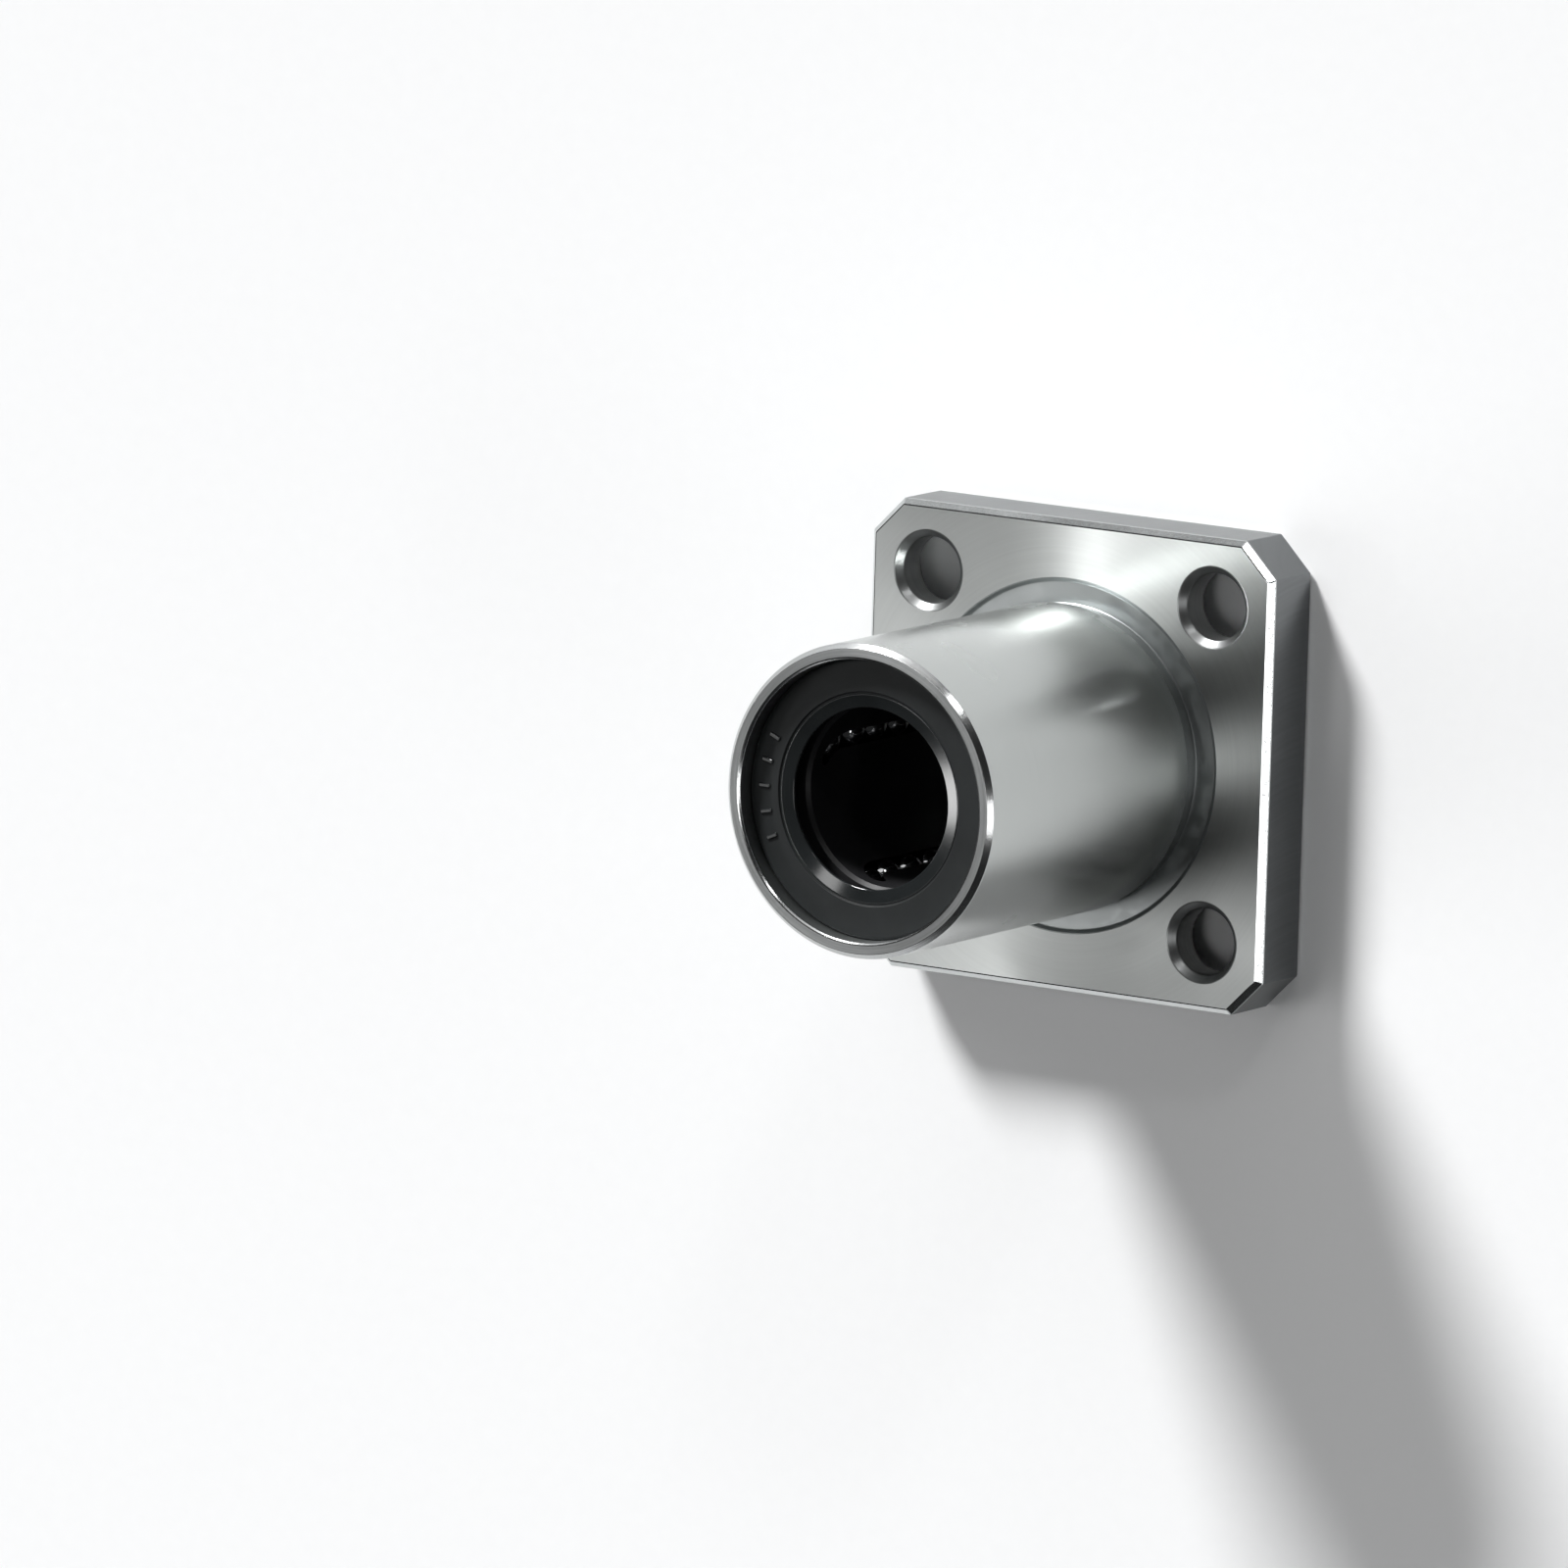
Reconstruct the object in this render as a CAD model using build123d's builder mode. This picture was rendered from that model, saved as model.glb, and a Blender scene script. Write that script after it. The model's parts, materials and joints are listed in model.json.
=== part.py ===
from build123d import *
from math import cos, hypot, pi, radians, sin, sqrt
import os

os.makedirs("parts", exist_ok=True)

# Flanged linear ball bearing for a 12 mm shaft, all sizes in millimetres
# It stands on the back of its flange, and the shaft axis is the vertical Z axis

# Main sizes
shaft_diameter = 12.0
ball_diameter = 2.381
bearing_length = 30.0
flange_thickness = 5.0
shaft_radius = shaft_diameter / 2
ball_radius = ball_diameter / 2
middle_height = bearing_length / 2

# Parts stacked from each open end inwards: empty recess, seal, retaining ring, cage
seal_recess = 1.25
seal_thickness = 1.45
ring_thickness = 0.7
cage_side_play = 0.05
seat_depth = seal_recess + seal_thickness + ring_thickness
cage_length = bearing_length - 2 * (seat_depth + cage_side_play)

# Clearances round the balls
sleeve_ball_clearance = 0.02
pocket_ball_clearance = 0.03
cage_ball_clearance = 0.04
pocket_radius = ball_radius + pocket_ball_clearance
channel_radius = ball_radius + cage_ball_clearance

# Ball circuits: four flat ovals, each with one row on the shaft and one row going back
circuit_count = 4
first_circuit_angle = 64.0
ball_gap = 0.319
balls_per_turn = 2
cage_end_wall = 0.45
ball_pitch = ball_diameter + ball_gap
turn_radius = balls_per_turn * ball_pitch / pi
balls_per_straight = int((cage_length - 2 * (cage_end_wall + channel_radius + turn_radius)) / ball_pitch)
straight_length = balls_per_straight * ball_pitch
track_height = shaft_radius + ball_radius
return_offset = 2 * turn_radius
return_radius = hypot(track_height, return_offset)

# Sleeve inside: the land over the loaded rows, then the wider seat at each end
seat_step = 0.2095
seat_mouth_chamfer = 0.15
land_radius = track_height + ball_radius + sleeve_ball_clearance
seal_seat_radius = return_radius + pocket_radius + seat_step

# Sleeve outside: a 21 mm barrel with a grinding relief where it meets the flange
barrel_rim_width = 1.1
barrel_end_chamfer = 0.35
relief_length = 0.9
relief_depth = 0.25
relief_ring_width = 1.5
barrel_radius = seal_seat_radius + barrel_rim_width
relief_ring_radius = barrel_radius + relief_ring_width
neck_radius = barrel_radius - relief_depth

# Bolt holes on a 32 mm circle, counterbored from the back of the flange
bolt_count = 4
bolt_first_angle = 45.0
bolt_hole_diameter = 4.5
bolt_entry_chamfer = 0.5
bolt_ring_gap = 1.25
bolt_neck_length = 2.4
counterbore_step = 1.5
counterbore_break = 0.25
bolt_hole_radius = bolt_hole_diameter / 2
bolt_circle_radius = relief_ring_radius + bolt_ring_gap + bolt_entry_chamfer + bolt_hole_radius
counterbore_radius = bolt_hole_radius + counterbore_step
counterbore_depth = flange_thickness - bolt_neck_length

# Flange: a 32 mm square with cut corners
bolt_side_wall = 0.9363
flange_corner_cut = 2.4
flange_face_break = 0.4
flange_back_break = 0.3
flange_width = bolt_circle_radius * sqrt(2) + 2 * (counterbore_radius + bolt_side_wall)

# Cage
cage_shaft_clearance = 0.2
cage_sleeve_clearance = 0.1
cage_end_chamfer = 0.25
cage_window_share = 0.8
cage_window_width = 4.0
cage_window_corner = 1.0
cage_window_depth = 0.6
cage_window_angle = 57.0
cage_bore_radius = shaft_radius + cage_shaft_clearance
cage_outer_radius = land_radius - cage_sleeve_clearance
cage_window_length = cage_window_share * straight_length

# Seals
seal_edge_round = 0.25
seal_lip_gap = 0.06
seal_lip_land = 0.2
seal_bevel_width = 0.94
seal_bevel_depth = 0.25
seal_groove_width = 0.14
seal_groove_depth = 0.12
seal_hollow_width = 0.74
moulded_bar_count = 5
moulded_bar_length = 0.9
moulded_bar_width = 0.32
moulded_bar_height = 0.12
moulded_bar_first_angle = 156.0
moulded_bar_spread = 48.0
lip_radius = shaft_radius + seal_lip_gap
bevel_radius = lip_radius + seal_bevel_width
hollow_radius = lip_radius + seal_hollow_width
moulded_bar_radius = (bevel_radius + seal_seat_radius) / 2
seal_face = bearing_length - seal_recess
seal_back = seal_face - seal_thickness

# Retaining rings
ring_groove_depth = 0.42
ring_radial_play = 0.04
ring_side_play = 0.02
ring_cage_overlap = 0.3
ring_gap_angle = 36.0
ring_lug_angle = 26.0
ring_lug_radius = 0.95
ring_lug_inset = 0.15
ring_lug_hole_diameter = 0.9
ring_groove_radius = seal_seat_radius + ring_groove_depth
ring_outer_radius = ring_groove_radius - ring_radial_play
ring_inner_radius = cage_outer_radius - ring_cage_overlap

circuit_angles = [first_circuit_angle + index * 360 / circuit_count for index in range(circuit_count)]
rear_end = Plane.XY
front_end = Plane(origin=(0, 0, bearing_length), x_dir=(1, 0, 0), z_dir=(0, 0, -1))
middle_plane = Plane.XY.offset(middle_height)


def outward_direction(angle):
    """Unit vector square to the shaft axis at the given angle."""
    return Vector(cos(radians(angle)), sin(radians(angle)), 0)


def circuit_plane(angle):
    """Plane of one ball circuit: origin on the loaded row, X towards the return row, Y along the shaft."""
    centre = outward_direction(angle) * track_height + middle_plane.origin
    return Plane(origin=centre, x_dir=outward_direction(angle + 90), z_dir=outward_direction(angle))


def pocket_plane(angle):
    """Plane across the shaft at the pocket's rear end, centred between the two rows of one circuit."""
    circuit = circuit_plane(angle)
    centre = circuit.from_local_coords(Vector(turn_radius, seat_depth - middle_height, 0))
    return Plane(origin=centre, x_dir=circuit.x_dir, z_dir=(0, 0, 1))


def window_plane(angle):
    """Plane touching the outside of the cage at mid length, X along the shaft."""
    centre = outward_direction(angle) * cage_outer_radius + middle_plane.origin
    return Plane(origin=centre, x_dir=(0, 0, 1), z_dir=outward_direction(angle))


def edges_of_radius(candidates, radius):
    """Those of the given edges that are circles of one radius."""
    return candidates.filter_by(GeomType.CIRCLE).filter_by(lambda edge: abs(edge.radius - radius) < 0.01)


def save(part, name):
    """Label one sub-part and write it to its own file."""
    part.label = name
    export_step(part, f"parts/{name}.step")


# Sleeve: flange and barrel in one steel turning
with BuildPart() as flanged_sleeve:
    # Flange
    with BuildSketch():
        Rectangle(flange_width, flange_width)
        chamfer(vertices(), flange_corner_cut)
    extrude(amount=flange_thickness)
    chamfer(faces().sort_by(Axis.Z)[-1].edges(), flange_face_break)
    chamfer(faces().sort_by(Axis.Z)[0].edges(), flange_back_break)

    # Barrel
    with BuildSketch(Plane.XY.offset(flange_thickness)):
        Circle(barrel_radius)
    extrude(amount=bearing_length - flange_thickness)
    chamfer(edges().sort_by(Axis.Z)[-1], barrel_end_chamfer)

    # Grinding relief at the root of the barrel
    with BuildSketch(Plane.XZ):
        relief_top = flange_thickness + relief_length
        with BuildLine():
            Polyline(
                (neck_radius, flange_thickness - relief_depth),
                (relief_ring_radius - relief_depth, flange_thickness - relief_depth),
                (relief_ring_radius, flange_thickness),
                (relief_ring_radius, relief_top + relief_depth),
                (neck_radius + relief_depth, relief_top + relief_depth),
                (neck_radius, relief_top),
                close=True,
            )
        make_face()
    revolve(axis=Axis.Z, mode=Mode.SUBTRACT)

    # Bore, with a seal seat and a ring groove at each end
    with BuildSketch():
        Circle(land_radius)
    extrude(amount=bearing_length, mode=Mode.SUBTRACT)
    for end in (rear_end, front_end):
        with BuildSketch(end):
            Circle(seal_seat_radius)
        extrude(amount=seat_depth, mode=Mode.SUBTRACT)
        with BuildSketch(end.offset(seat_depth - ring_thickness - ring_side_play)):
            Circle(ring_groove_radius)
        extrude(amount=ring_thickness + ring_side_play, mode=Mode.SUBTRACT)
    seat_edges = edges_of_radius(edges(), seal_seat_radius).sort_by(Axis.Z)
    chamfer([seat_edges[0], seat_edges[-1]], seat_mouth_chamfer)

    # Ball pockets
    for angle in circuit_angles:
        with BuildSketch(pocket_plane(angle)):
            SlotCenterToCenter(return_offset, 2 * pocket_radius)
        extrude(amount=bearing_length - 2 * seat_depth, mode=Mode.SUBTRACT)

    # Bolt holes
    with Locations(rear_end.rotated((180, 0, 0))):
        with PolarLocations(bolt_circle_radius, bolt_count, bolt_first_angle):
            CounterBoreHole(bolt_hole_radius, counterbore_radius, counterbore_depth)
    chamfer(edges_of_radius(edges(), bolt_hole_radius).group_by(Axis.Z)[-1], bolt_entry_chamfer)
    chamfer(edges_of_radius(edges(), counterbore_radius).group_by(Axis.Z)[0], counterbore_break)

save(flanged_sleeve.part, "flanged_sleeve")

# Cage: a resin tube with an oval ball channel for each circuit, open outwards to the sleeve
with BuildPart() as ball_cage:
    with BuildSketch(Plane.XY.offset(seat_depth + cage_side_play)):
        Circle(cage_outer_radius)
        Circle(cage_bore_radius, mode=Mode.SUBTRACT)
    extrude(amount=cage_length)
    chamfer(edges().filter_by(GeomType.CIRCLE), cage_end_chamfer)

    for angle in circuit_angles:
        # Round floor of the channel, which opens to the shaft under the loaded row
        circuit = circuit_plane(angle)
        half_straight = straight_length / 2
        with BuildLine(circuit):
            Line((0, -half_straight), (0, half_straight))
            CenterArc((turn_radius, half_straight), turn_radius, 180, -180)
            Line((return_offset, half_straight), (return_offset, -half_straight))
            CenterArc((turn_radius, -half_straight), turn_radius, 0, -180)
        start = circuit.from_local_coords(Vector(0, -half_straight, 0))
        with BuildSketch(Plane(origin=start, x_dir=circuit.x_dir, z_dir=(0, 0, 1))):
            Circle(channel_radius)
        sweep(mode=Mode.SUBTRACT)

        # Straight walls of the channel, round an island that stays between the rows
        with BuildSketch(circuit):
            with Locations((turn_radius, 0)):
                SlotCenterToCenter(straight_length, 2 * (turn_radius + channel_radius), rotation=90)
                SlotCenterToCenter(
                    straight_length, 2 * (turn_radius - channel_radius), rotation=90, mode=Mode.SUBTRACT
                )
        extrude(amount=cage_outer_radius - cage_bore_radius, mode=Mode.SUBTRACT)

        # Shallow moulded window between this circuit and the next
        with BuildSketch(window_plane(angle + cage_window_angle)):
            RectangleRounded(cage_window_length, cage_window_width, cage_window_corner)
        extrude(amount=-cage_window_depth, mode=Mode.SUBTRACT)

save(ball_cage.part, "ball_cage")

# Front seal: rubber disc with a bevelled lip, a fine ring line and raised moulding bars
with BuildPart() as front_seal:
    with BuildSketch(Plane.XZ):
        with BuildLine():
            Polyline(
                (seal_seat_radius, seal_back),
                (seal_seat_radius, seal_face),
                (bevel_radius + seal_groove_width, seal_face),
                (bevel_radius + seal_groove_width, seal_face - seal_groove_depth),
                (bevel_radius, seal_face - seal_groove_depth),
                (lip_radius, seal_face - seal_bevel_depth),
                (lip_radius, seal_face - seal_bevel_depth - seal_lip_land),
                (hollow_radius, seal_back),
                close=True,
            )
        make_face()
    revolve(axis=Axis.Z)
    fillet(edges_of_radius(edges(), seal_seat_radius).sort_by(Axis.Z)[-1], seal_edge_round)
    with BuildSketch(Plane.XY.offset(seal_face)):
        with PolarLocations(
            moulded_bar_radius, moulded_bar_count, moulded_bar_first_angle, moulded_bar_spread, endpoint=True
        ):
            Rectangle(moulded_bar_length, moulded_bar_width)
    extrude(amount=moulded_bar_height)

save(front_seal.part, "front_seal")

# Rear seal: the same disc the other way round
with BuildPart() as rear_seal:
    mirror(front_seal.part, about=middle_plane)

save(rear_seal.part, "rear_seal")

# Front retaining ring: an open ring in the groove behind the seal, with a holed lug at each end
with BuildPart() as front_retaining_ring:
    with BuildSketch(Plane.XY.offset(bearing_length - seat_depth)):
        Circle(ring_outer_radius)
        Circle(ring_inner_radius, mode=Mode.SUBTRACT)
        gap_reach = 2 * ring_outer_radius
        half_gap = radians(ring_gap_angle / 2)
        with BuildLine():
            Polyline(
                (0, 0),
                (gap_reach * cos(half_gap), gap_reach * sin(half_gap)),
                (gap_reach * cos(half_gap), -gap_reach * sin(half_gap)),
                close=True,
            )
        make_face(mode=Mode.SUBTRACT)
        with PolarLocations(
            ring_inner_radius - ring_lug_inset, 2, -ring_lug_angle, 2 * ring_lug_angle, endpoint=True
        ):
            Circle(ring_lug_radius)
            Circle(ring_lug_hole_diameter / 2, mode=Mode.SUBTRACT)
    extrude(amount=ring_thickness)

save(front_retaining_ring.part, "front_retaining_ring")

# Rear retaining ring: the same ring in the rear groove
with BuildPart() as rear_retaining_ring:
    mirror(front_retaining_ring.part, about=middle_plane)

save(rear_retaining_ring.part, "rear_retaining_ring")


def save_balls(circuit, spots, name):
    """Build one group of balls at the given places in a circuit's plane."""
    with BuildPart() as balls:
        with Locations(*[circuit.from_local_coords(Vector(across, along, 0)) for across, along in spots]):
            Sphere(ball_radius)
    save(balls.part, name)


# Balls: each circuit has a loaded row, a return row and one group in each turn
row_steps = [(step - (balls_per_straight - 1) / 2) * ball_pitch for step in range(balls_per_straight)]
turn_start = straight_length / 2
turns = [(step + 0.5) * pi / balls_per_turn for step in range(balls_per_turn)]
turn_spots = [(turn_radius * (1 - cos(turn)), turn_start + turn_radius * sin(turn)) for turn in turns]
for number, angle in enumerate(circuit_angles, start=1):
    circuit = circuit_plane(angle)
    save_balls(circuit, [(0, along) for along in row_steps], f"loaded_balls_{number}")
    save_balls(circuit, [(return_offset, along) for along in row_steps], f"return_balls_{number}")
    save_balls(circuit, turn_spots, f"front_turn_balls_{number}")
    save_balls(circuit, [(across, -along) for across, along in turn_spots], f"rear_turn_balls_{number}")
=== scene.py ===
"""Looks of a flanged linear ball bearing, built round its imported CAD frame.

The frame gives every node its place, in metres, with the shaft axis on Z and the back of the
flange on the floor. New pieces are modelled in millimetres and brought to metres when finished.
"""

import json
import logging
import math
from collections.abc import Callable, Iterator, Sequence
from contextlib import contextmanager
from dataclasses import dataclass, field
from enum import Enum

import bmesh
import bpy
from mathutils import Matrix, Vector

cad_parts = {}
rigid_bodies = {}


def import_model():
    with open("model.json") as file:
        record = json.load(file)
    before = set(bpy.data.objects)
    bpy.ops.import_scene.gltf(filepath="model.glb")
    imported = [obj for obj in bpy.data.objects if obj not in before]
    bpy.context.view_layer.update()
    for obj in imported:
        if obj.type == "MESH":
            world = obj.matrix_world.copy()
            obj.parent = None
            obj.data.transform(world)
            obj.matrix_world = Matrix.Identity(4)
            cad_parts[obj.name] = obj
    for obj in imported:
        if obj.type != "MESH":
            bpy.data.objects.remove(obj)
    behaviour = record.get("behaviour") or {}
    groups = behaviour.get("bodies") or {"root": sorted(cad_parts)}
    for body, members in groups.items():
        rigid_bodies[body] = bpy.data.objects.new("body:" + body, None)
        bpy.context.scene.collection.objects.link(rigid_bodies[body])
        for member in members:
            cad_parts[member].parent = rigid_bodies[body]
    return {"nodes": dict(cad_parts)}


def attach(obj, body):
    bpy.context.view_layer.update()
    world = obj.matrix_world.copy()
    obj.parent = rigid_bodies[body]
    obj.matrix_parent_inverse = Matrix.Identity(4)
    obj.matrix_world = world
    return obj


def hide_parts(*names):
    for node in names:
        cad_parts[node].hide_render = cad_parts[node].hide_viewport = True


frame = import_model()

log = logging.getLogger("bearing")

MILLIMETRE = 0.001
FULL_TURN = 2 * math.pi

Triple = tuple[float, float, float]
Colour = Triple
Piece = bpy.types.Object
Socket = bpy.types.NodeSocket

# Corners nearer than this are merged, while a shape is modelled and after a cut, in millimetres
MERGE_DISTANCE = 1e-4
SLIVER = 1e-3

# How far a cutter reaches past the surface that it opens, and how near a level or a circle a
# corner lies to count as on it, in millimetres
OVERSHOOT = 0.3
ON_LEVEL = 1e-3
ON_CIRCLE = 2e-3

# How far past the edge of a region the middle of a face may lie, in millimetres
MARGIN = 0.01

# Noise features in a metre of each surface
STEEL_CLOUDS = 160
MOULDING_CLOUDS = 300
PAPER_GRAIN = 900
NICKS = 2600

# How fast tool marks change along their length, and the slant and bow of a cutter's arcs
ROUND_DRIFT = 120
RING_DRIFT = 1.6
ARC_DRIFT = 90
ARC_SLANT = 1.27
ARC_BOW = 38

# Shares of the tool marks and of the clouds in a steel's tone
MARKS_SHARE = 0.55
CLOUDS_SHARE = 0.45


class Lay(Enum):
    """Which way the tool marks of a metal surface run."""

    ROUND_THE_AXIS = "round a wall, as left by turning or grinding"
    RINGS_ON_A_FACE = "rings on a flat face, as left by facing on a lathe"
    CUTTER_ARCS = "arcs across a side, as left by a milling cutter"


# ---------------------------------------------------------------- materials


class NodeSheet:
    """A material's node tree with short ways to add and join nodes."""

    def __init__(self, name: str) -> None:
        """Start a material with a shader and an output.

        Args:
            name: the material's name.
        """
        self.material = bpy.data.materials.new(name)
        self.material.use_nodes = True
        self.tree = self.material.node_tree
        self.shader = self.tree.nodes["Principled BSDF"]

    def add(self, kind: str, **settings: object) -> bpy.types.Node:
        """Add one node.

        Args:
            kind: the node's type name without its ShaderNode prefix.
            settings: properties to set on the node.

        Returns:
            The new node.
        """
        node = self.tree.nodes.new(f"ShaderNode{kind}")
        for name, value in settings.items():
            setattr(node, name, value)
        return node

    def join(self, source: Socket, target: Socket) -> None:
        """Link an output socket to an input socket."""
        self.tree.links.new(source, target)

    def feed(self, node: bpy.types.Node, inputs: dict[str | int, object]) -> None:
        """Fill inputs of a node.

        Args:
            node: the node.
            inputs: a socket to link or a value to set, by the input's name or number.
        """
        for key, value in inputs.items():
            if isinstance(value, Socket):
                self.join(value, node.inputs[key])
            else:
                node.inputs[key].default_value = value

    def maths(self, operation: str, first: object, second: object = 0.0) -> Socket:
        """Add a Math node.

        Args:
            operation: the operation's name.
            first: a socket or a number.
            second: a socket or a number.

        Returns:
            The node's output socket.
        """
        node = self.add("Math", operation=operation)
        self.feed(node, {0: first, 1: second})
        return node.outputs[0]

    def vector_maths(self, operation: str, first: object, second: object) -> Socket:
        """Add a Vector Math node.

        Args:
            operation: the operation's name.
            first: a socket or three numbers.
            second: a socket or three numbers.

        Returns:
            The node's vector output.
        """
        node = self.add("VectorMath", operation=operation)
        self.feed(node, {0: first, 1: second})
        return node.outputs[0]

    def position(self) -> Socket:
        """The place on the piece, in metres in the frame."""
        return self.add("TexCoord").outputs["Object"]

    def noise(self, vector: Socket, scale: float, detail: float) -> Socket:
        """Add a noise texture.

        Args:
            vector: coordinates to read.
            scale: features per unit of the coordinates.
            detail: octaves of finer noise.

        Returns:
            The noise value, about 0 to 1.
        """
        node = self.add("TexNoise")
        self.feed(node, {"Vector": vector, "Scale": scale, "Detail": detail})
        return node.outputs[0]

    def spread(
        self, value: Socket, low: float, high: float, start: float = 0.3, end: float = 0.7
    ) -> Socket:
        """Map a value onto another range.

        Args:
            value: the value to map.
            low: result at the start.
            high: result at the end.
            start: value that gives the low result.
            end: value that gives the high result.

        Returns:
            The mapped value.
        """
        node = self.add("MapRange")
        self.feed(
            node, {"Value": value, "From Min": start, "From Max": end, "To Min": low, "To Max": high}
        )
        return node.outputs[0]

    def blend_colours(self, share: Socket, first: Colour, second: Colour) -> Socket:
        """Mix two colours by a value.

        Args:
            share: 0 for the first colour, 1 for the second.
            first: the first colour.
            second: the second colour.

        Returns:
            The mixed colour.
        """
        node = self.add("Mix", data_type="RGBA")
        # 6, 7 and 2 are the colour sockets, after those for numbers and vectors
        self.feed(node, {0: share, 6: (*first, 1), 7: (*second, 1)})
        return node.outputs[2]

    def relief(self, height: Socket, depth: float, under: Socket | None = None) -> Socket:
        """Add a bump.

        Args:
            height: the height, 0 to 1.
            depth: the real depth of a height of 1, in metres.
            under: a normal to add the bump to.

        Returns:
            The bumped normal.
        """
        node = self.add("Bump")
        self.feed(node, {"Strength": 1.0, "Distance": depth, "Height": height})
        if under is not None:
            self.join(under, node.inputs["Normal"])
        return node.outputs[0]


@dataclass(frozen=True)
class Steel:
    """A machined steel surface: its colour, its tool marks and its light wear."""

    name: str
    colour: Colour
    shade: float
    roughness: float
    lay: Lay
    mark_pitch: float
    mark_depth: float = 0.0
    nick_depth: float = 0.0
    anisotropy: float = 0.0
    unevenness: float = 0.2

    def marks(self, sheet: NodeSheet, place: Socket) -> Socket:
        """Coordinates that run quickly across the tool marks and slowly along them.

        Args:
            sheet: the node tree.
            place: position on the piece.

        Returns:
            A vector for a noise texture whose features are the marks.
        """
        across = 1 / (self.mark_pitch * MILLIMETRE)
        if self.lay is Lay.ROUND_THE_AXIS:
            return sheet.vector_maths("MULTIPLY", place, (ROUND_DRIFT, ROUND_DRIFT, across))
        parts = sheet.add("SeparateXYZ")
        sheet.join(place, parts.inputs[0])
        east, north, height = parts.outputs
        joined = sheet.add("CombineXYZ")
        if self.lay is Lay.RINGS_ON_A_FACE:
            flat = sheet.vector_maths("MULTIPLY", place, (1, 1, 0))
            length = sheet.add("VectorMath", operation="LENGTH")
            sheet.join(flat, length.inputs[0])
            radius = length.outputs["Value"]
            heading = sheet.vector_maths("NORMALIZE", flat, (0, 0, 0))
            slow = sheet.vector_maths("MULTIPLY", heading, (RING_DRIFT, RING_DRIFT, 0))
            sheet.join(sheet.maths("MULTIPLY", radius, across), joined.inputs[2])
            return sheet.vector_maths("ADD", slow, joined.outputs[0])
        along = sheet.maths("ADD", east, sheet.maths("MULTIPLY", north, ARC_SLANT))
        bow = sheet.maths("MULTIPLY", sheet.maths("MULTIPLY", height, height), ARC_BOW)
        sheet.join(sheet.maths("MULTIPLY", sheet.maths("ADD", along, bow), across), joined.inputs[0])
        sheet.join(sheet.maths("MULTIPLY", height, ARC_DRIFT), joined.inputs[1])
        return joined.outputs[0]

    def tangent(self, sheet: NodeSheet, place: Socket) -> Socket:
        """World direction in which highlights are drawn out, square to the tool marks.

        Args:
            sheet: the node tree.
            place: position on the piece.

        Returns:
            The direction for the shader's Tangent socket.
        """
        turn = sheet.add(
            "VectorTransform", vector_type="VECTOR", convert_from="OBJECT", convert_to="WORLD"
        )
        if self.lay is Lay.RINGS_ON_A_FACE:
            heading = sheet.vector_maths("MULTIPLY", place, (1, 1, 0))
        else:
            raised = sheet.vector_maths("ADD", place, (0, 0, 1))
            heading = sheet.vector_maths("MULTIPLY", raised, (0, 0, 1))
        sheet.join(heading, turn.inputs[0])
        return turn.outputs[0]

    def make(self) -> bpy.types.Material:
        """Build the material.

        Returns:
            The finished material.
        """
        sheet = NodeSheet(self.name)
        place = sheet.position()
        lines = sheet.noise(self.marks(sheet, place), 1.0, 3.0)
        clouds = sheet.noise(place, STEEL_CLOUDS, 3.0)
        darker = tuple(part * self.shade for part in self.colour)
        tone = sheet.maths(
            "ADD",
            sheet.maths("MULTIPLY", lines, MARKS_SHARE),
            sheet.maths("MULTIPLY", clouds, CLOUDS_SHARE),
        )
        mixed = sheet.blend_colours(sheet.spread(tone, 0, 1, 0.2, 0.8), darker, self.colour)
        dull = sheet.spread(
            clouds, self.roughness * (1 - self.unevenness), self.roughness * (1 + self.unevenness), 0, 1
        )
        look = {
            "Base Color": mixed,
            "Metallic": 1.0,
            "Anisotropic": self.anisotropy,
            "Roughness": dull,
        }
        cut = None
        if self.mark_depth:
            cut = sheet.relief(lines, self.mark_depth * MILLIMETRE)
        if self.nick_depth:
            cut = sheet.relief(sheet.noise(place, NICKS, 2.0), self.nick_depth * MILLIMETRE, cut)
        if cut is not None:
            look["Normal"] = cut
        if self.anisotropy > 0:
            look["Tangent"] = self.tangent(sheet, place)
        sheet.feed(sheet.shader, look)
        return sheet.material


@dataclass(frozen=True)
class Moulding:
    """A moulded rubber or resin surface with a fine grain, and an oily coat where it is rubbed."""

    name: str
    colour: Colour
    roughness: float
    grain: float
    grain_depth: float
    sheen: float = 0.25
    coat: float = 0.0
    coat_roughness: float = 0.08
    coat_ior: float = 1.6
    cloud_gain: float = 1.5
    unevenness: float = 0.1

    def make(self) -> bpy.types.Material:
        """Build the material.

        Returns:
            The finished material.
        """
        sheet = NodeSheet(self.name)
        place = sheet.position()
        grain = sheet.noise(place, 1 / (self.grain * MILLIMETRE), 4.0)
        clouds = sheet.noise(place, MOULDING_CLOUDS, 3.0)
        lighter = tuple(part * self.cloud_gain for part in self.colour)
        mixed = sheet.blend_colours(sheet.spread(clouds, 0, 1), self.colour, lighter)
        dull = sheet.spread(
            grain, self.roughness * (1 - self.unevenness), self.roughness * (1 + self.unevenness)
        )
        look = {
            "Base Color": mixed,
            "Roughness": dull,
            "Specular IOR Level": self.sheen,
            "Coat Weight": self.coat,
            "Coat Roughness": self.coat_roughness,
            "Coat IOR": self.coat_ior,
            "Normal": sheet.relief(grain, self.grain_depth * MILLIMETRE),
        }
        sheet.feed(sheet.shader, look)
        return sheet.material


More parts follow.
